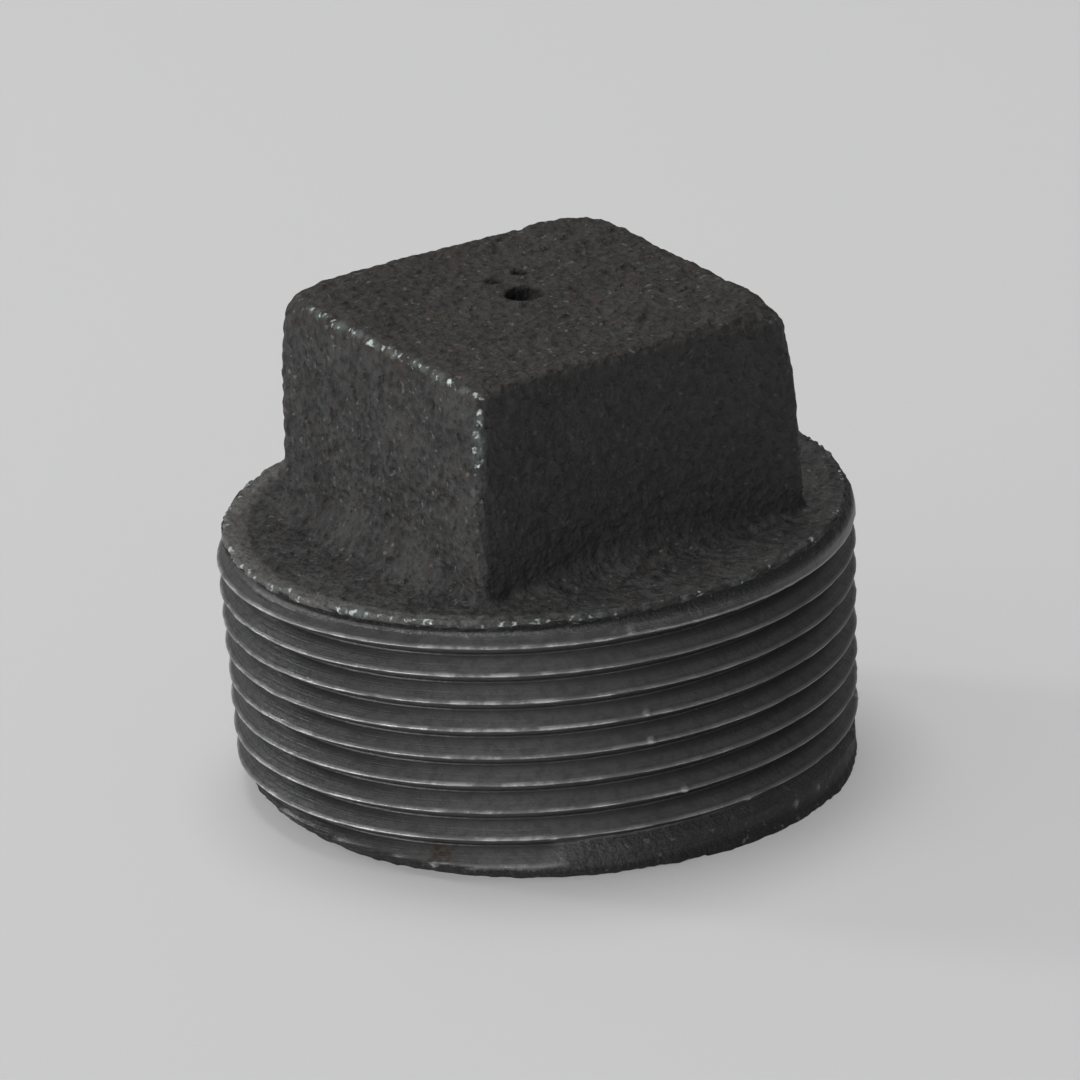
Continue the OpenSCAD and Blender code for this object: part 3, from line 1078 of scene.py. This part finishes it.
# Square lights, in metres: place to the picture's right, back and up, then size, watts and shadow
LIGHTS = {
    "ceiling": ((-0.06, 0.22, 1.0), 0.5, 3.2, True),
    "skylight": ((-0.06, 0.22, 1.0), 0.5, 3.3, False),
    "key": ((-0.9, 0.42, 0.45), 0.15, 1.7, True),
    "window": ((-0.9, -0.45, 0.14), 0.5, 7.0, False),
    "fill": ((0.4, -0.9, 0.16), 0.5, 2.2, False),
}
AIM = Vector((0, 0, 0.02))


def from_picture(right, back, up):
    """A point in metres, from its distances to the picture's right, away from the camera and up."""
    return Matrix.Rotation(-VIEW_TURN, 3, "Z") @ Vector((right, back, up))


def make_camera():
    """A level camera tilted down, turned about its own axis and moved sideways to frame the plug."""
    cos_e, sin_e = math.cos(CAMERA_ELEVATION), math.sin(CAMERA_ELEVATION)
    level_right, level_up = Vector((1, 0, 0)), Vector((0, sin_e, cos_e))
    forward = Vector((0, cos_e, -sin_e))
    right = level_right * math.cos(CAMERA_ROLL) - level_up * math.sin(CAMERA_ROLL)
    up = level_right * math.sin(CAMERA_ROLL) + level_up * math.cos(CAMERA_ROLL)
    place = -(right * CAMERA_SHIFT[0] + up * CAMERA_SHIFT[1] + forward * CAMERA_DISTANCE) * MM
    pose = Matrix((right, up, -forward)).transposed().to_4x4()
    pose.translation = place
    data = bpy.data.cameras.new("camera")
    data.lens = LENS
    data.sensor_width = 36
    data.clip_end = 100
    camera = bpy.data.objects.new("camera", data)
    camera.matrix_world = Matrix.Rotation(-VIEW_TURN, 4, "Z") @ pose
    bpy.context.scene.collection.objects.link(camera)
    bpy.context.scene.camera = camera


def make_floor():
    """A pale floor, just below the face that the plug stands on."""
    mesh = bpy.data.meshes.new("floor")
    corners = [(-1, -1), (1, -1), (1, 1), (-1, 1)]
    mesh.from_pydata([(x * FLOOR_HALF, y * FLOOR_HALF, FLOOR_Z) for x, y in corners], [], [(0, 1, 2, 3)])
    material = bpy.data.materials.new("pale_floor")
    material.use_nodes = True
    shader = material.node_tree.nodes["Principled BSDF"]
    shader.inputs["Base Color"].default_value = FLOOR_COLOUR
    shader.inputs["Roughness"].default_value = 0.8
    shader.inputs["Specular IOR Level"].default_value = 0.2
    mesh.materials.append(material)
    floor = bpy.data.objects.new("floor", mesh)
    bpy.context.scene.collection.objects.link(floor)


def make_light(name, place, size, watts, casts_shadow):
    """A square light that points at the plug."""
    data = bpy.data.lights.new(name, "AREA")
    data.size = size
    data.energy = watts
    data.use_shadow = casts_shadow
    lamp = bpy.data.objects.new(name, data)
    lamp.location = place
    lamp.rotation_mode = "QUATERNION"
    lamp.rotation_quaternion = (AIM - place).to_track_quat("-Z", "Y")
    bpy.context.scene.collection.objects.link(lamp)


def make_world():
    """A dim, even room, a little brighter at the picture's left."""
    world = bpy.data.worlds.new("world")
    world.use_nodes = True
    tree = world.node_tree
    background = tree.nodes["Background"]
    direction = add(tree, "ShaderNodeTexCoord").outputs["Generated"]
    left = from_picture(-1, -0.2, 0).normalized()
    toward = add(tree, "ShaderNodeVectorMath", {0: direction, 1: left}, operation="DOT_PRODUCT")
    strength = ramp(tree, toward.outputs["Value"], -1, 1, ROOM_AT_RIGHT, ROOM_AT_LEFT)
    tree.links.new(strength, background.inputs["Strength"])
    background.inputs["Color"].default_value = (1, 1, 1, 1)
    bpy.context.scene.world = world


build_cast_head()
build_threaded_body()
make_camera()
make_floor()
make_world()
for light, (place, size, watts, casts_shadow) in LIGHTS.items():
    make_light(light, from_picture(*place), size, watts, casts_shadow)
bpy.context.scene.view_settings.view_transform = "Standard"
